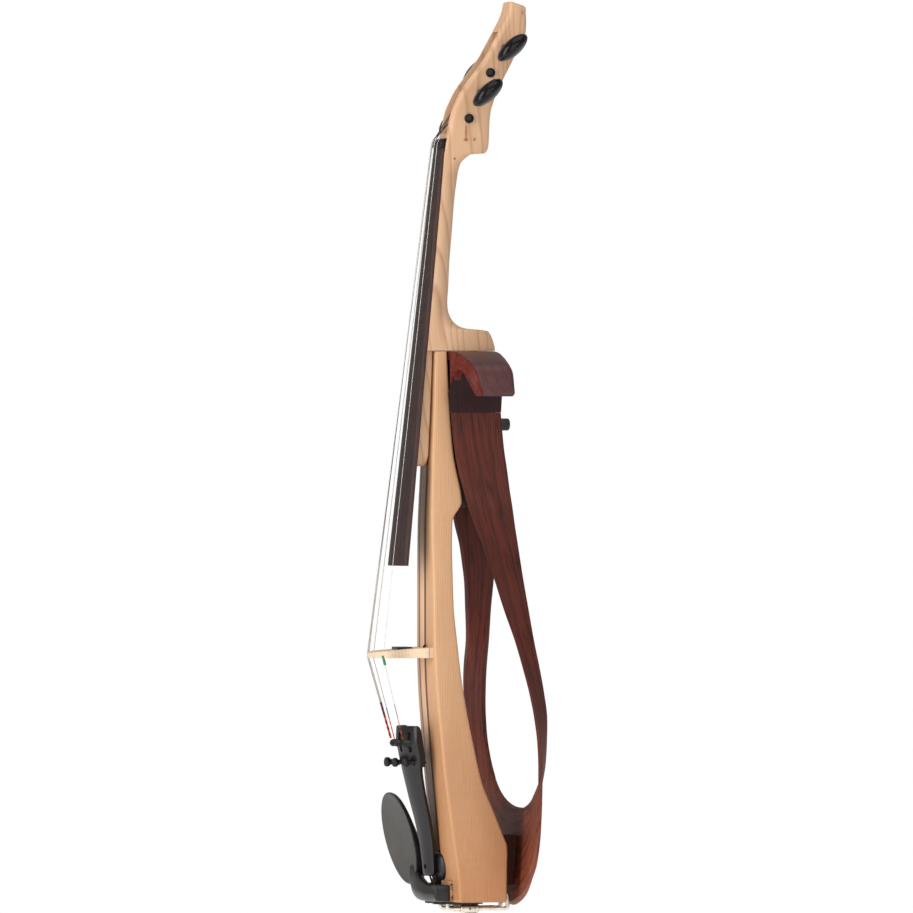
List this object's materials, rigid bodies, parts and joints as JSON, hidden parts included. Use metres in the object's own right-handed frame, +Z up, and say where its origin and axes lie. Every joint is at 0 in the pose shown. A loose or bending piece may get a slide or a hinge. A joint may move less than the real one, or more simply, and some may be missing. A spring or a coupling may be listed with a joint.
{
  "type": "electric violin",
  "caption": "Electric violin with a slim laminated body inside an open wooden loop frame, pegs, fine tuners, clamped chin rest and volume knob.",
  "frame": {"origin": "middle of the flat ledge under the back of the head, on which the instrument hangs", "axes": "+Z up along the instrument towards the head, +X to the player's treble (E string) side, the strings face -Y"},
  "size_m": [0.206, 0.102, 0.5862],
  "materials": {
    "maple": "satin oil finish",
    "bridge_maple": "bare, sanded",
    "ebony": "oiled, satin",
    "core_maple": "satin lacquer",
    "mahogany": "satin lacquer",
    "spruce": "satin lacquer",
    "walnut": "oiled open grain",
    "black_plastic": "satin moulded",
    "chinrest_plastic": "satin to gloss moulded",
    "peg_black": "polished",
    "tuner_black": "black, satin",
    "steel": "plain",
    "string_steel": "wound, silk-wrapped at the ends",
    "chrome": "polished",
    "cork": "cork sheet",
    "green_sleeve": "thin sleeve"
  },
  "bodies": {
    "root": {"neck": "maple", "bridge": "bridge_maple", "fingerboard": "ebony", "nut": "black_plastic", "body_core": "core_maple", "body_strip_treble": "mahogany", "body_strip_bass": "mahogany", "body_side_treble": "spruce", "body_side_bass": "spruce", "frame_shoulder": "walnut", "frame_leg_treble": "walnut", "frame_leg_bass": "walnut", "frame_tail": "walnut", "cavity_back_plate": "walnut", "cavity_cover": "walnut", "tail_block": "walnut", "heel_screw_treble": "steel", "heel_screw_bass": "steel", "tail_screw_upper": "steel", "tail_screw_lower": "steel", "volume_pot": "steel", "output_jack": "black_plastic", "bridge_pickup_treble": "black_plastic", "bridge_pickup_bass": "black_plastic", "pickup_wire": "black_plastic", "e_string_sleeve": "green_sleeve", "tailpiece": "black_plastic", "saddle": "black_plastic", "end_button": "black_plastic", "tail_gut": "black_plastic", "chinrest": "chinrest_plastic", "chinrest_cork_treble": "cork", "chinrest_cork_bass": "cork", "clamp_bracket_treble": "chrome", "clamp_bracket_bass": "chrome", "string_e": "string_steel", "string_a": "string_steel", "string_d": "string_steel", "string_g": "string_steel"},
    "peg_e": {"peg_e": "peg_black", "peg_winding_e": "string_steel"},
    "peg_a": {"peg_a": "peg_black", "peg_winding_a": "string_steel"},
    "peg_d": {"peg_d": "peg_black", "peg_winding_d": "string_steel"},
    "peg_g": {"peg_g": "peg_black", "peg_winding_g": "string_steel"},
    "tuner_screw_e": {"tuner_screw_e": "tuner_black"},
    "tuner_lever_e": {"tuner_lever_e": "tuner_black"},
    "tuner_screw_a": {"tuner_screw_a": "tuner_black"},
    "tuner_lever_a": {"tuner_lever_a": "tuner_black"},
    "tuner_screw_d": {"tuner_screw_d": "tuner_black"},
    "tuner_lever_d": {"tuner_lever_d": "tuner_black"},
    "tuner_screw_g": {"tuner_screw_g": "tuner_black"},
    "tuner_lever_g": {"tuner_lever_g": "tuner_black"},
    "volume_knob": {"volume_knob": "black_plastic"},
    "clamp_barrel_treble": {"clamp_barrel_treble": "chrome"},
    "clamp_barrel_bass": {"clamp_barrel_bass": "chrome"},
    "clamp_foot": {"clamp_foot": "chrome", "clamp_foot_cork": "cork"}
  },
  "joints": [
    {"name": "peg_e_turn", "type": "hinge", "parent": "root", "child": "peg_e", "pos_m": [0, 0, 0.0383], "axis": [1, 0, 0], "continuous": true},
    {"name": "peg_a_turn", "type": "hinge", "parent": "root", "child": "peg_a", "pos_m": [0, 0.0162, 0.0672], "axis": [1, 0, 0], "continuous": true},
    {"name": "peg_d_turn", "type": "hinge", "parent": "root", "child": "peg_d", "pos_m": [0, 0.0062, 0.0516], "axis": [1, 0, 0], "continuous": true},
    {"name": "peg_g_turn", "type": "hinge", "parent": "root", "child": "peg_g", "pos_m": [0, -0.0079, 0.0221], "axis": [1, 0, 0], "continuous": true},
    {"name": "tuner_screw_e_turn", "type": "hinge", "parent": "root", "child": "tuner_screw_e", "pos_m": [0.015, -0.046, -0.391], "axis": [0, 1, 0], "range_deg": [0, 1440]},
    {"name": "tuner_lever_e_tilt", "type": "hinge", "parent": "root", "child": "tuner_lever_e", "pos_m": [0.015, -0.03816, -0.3815], "axis": [1, 0, 0], "range_deg": [0, 8]},
    {"name": "tuner_screw_a_turn", "type": "hinge", "parent": "root", "child": "tuner_screw_a", "pos_m": [0.005, -0.046, -0.391], "axis": [0, 1, 0], "range_deg": [0, 1440]},
    {"name": "tuner_lever_a_tilt", "type": "hinge", "parent": "root", "child": "tuner_lever_a", "pos_m": [0.005, -0.04379, -0.3815], "axis": [1, 0, 0], "range_deg": [0, 8]},
    {"name": "tuner_screw_d_turn", "type": "hinge", "parent": "root", "child": "tuner_screw_d", "pos_m": [-0.005, -0.046, -0.391], "axis": [0, 1, 0], "range_deg": [0, 1440]},
    {"name": "tuner_lever_d_tilt", "type": "hinge", "parent": "root", "child": "tuner_lever_d", "pos_m": [-0.005, -0.04379, -0.3815], "axis": [1, 0, 0], "range_deg": [0, 8]},
    {"name": "tuner_screw_g_turn", "type": "hinge", "parent": "root", "child": "tuner_screw_g", "pos_m": [-0.015, -0.046, -0.391], "axis": [0, 1, 0], "range_deg": [0, 1440]},
    {"name": "tuner_lever_g_tilt", "type": "hinge", "parent": "root", "child": "tuner_lever_g", "pos_m": [-0.015, -0.03816, -0.3815], "axis": [1, 0, 0], "range_deg": [0, 8]},
    {"name": "volume_turn", "type": "hinge", "parent": "root", "child": "volume_knob", "pos_m": [0, 0.012, -0.1742], "axis": [0, 1, 0], "range_deg": [-150, 150]},
    {"name": "clamp_barrel_treble_turn", "type": "hinge", "parent": "root", "child": "clamp_barrel_treble", "pos_m": [0.01, -0.007, -0.485], "axis": [0, 1, 0], "range_deg": [0, 540]},
    {"name": "clamp_barrel_bass_turn", "type": "hinge", "parent": "root", "child": "clamp_barrel_bass", "pos_m": [-0.01, -0.007, -0.485], "axis": [0, 1, 0], "range_deg": [0, 540]},
    {"name": "clamp_foot_slide", "type": "slide", "parent": "root", "child": "clamp_foot", "axis": [0, 1, 0], "range_m": [0, 0.0015]}
  ],
  "couplings": [
    {"joint": "tuner_lever_e_tilt", "follows": "tuner_screw_e_turn", "ratio": 0.0055556},
    {"joint": "tuner_lever_a_tilt", "follows": "tuner_screw_a_turn", "ratio": 0.0055556},
    {"joint": "tuner_lever_d_tilt", "follows": "tuner_screw_d_turn", "ratio": 0.0055556},
    {"joint": "tuner_lever_g_tilt", "follows": "tuner_screw_g_turn", "ratio": 0.0055556},
    {"joint": "clamp_barrel_treble_turn", "follows": "clamp_foot_slide", "rad_per_m": 6283},
    {"joint": "clamp_barrel_bass_turn", "follows": "clamp_foot_slide", "rad_per_m": 6283}
  ]
}
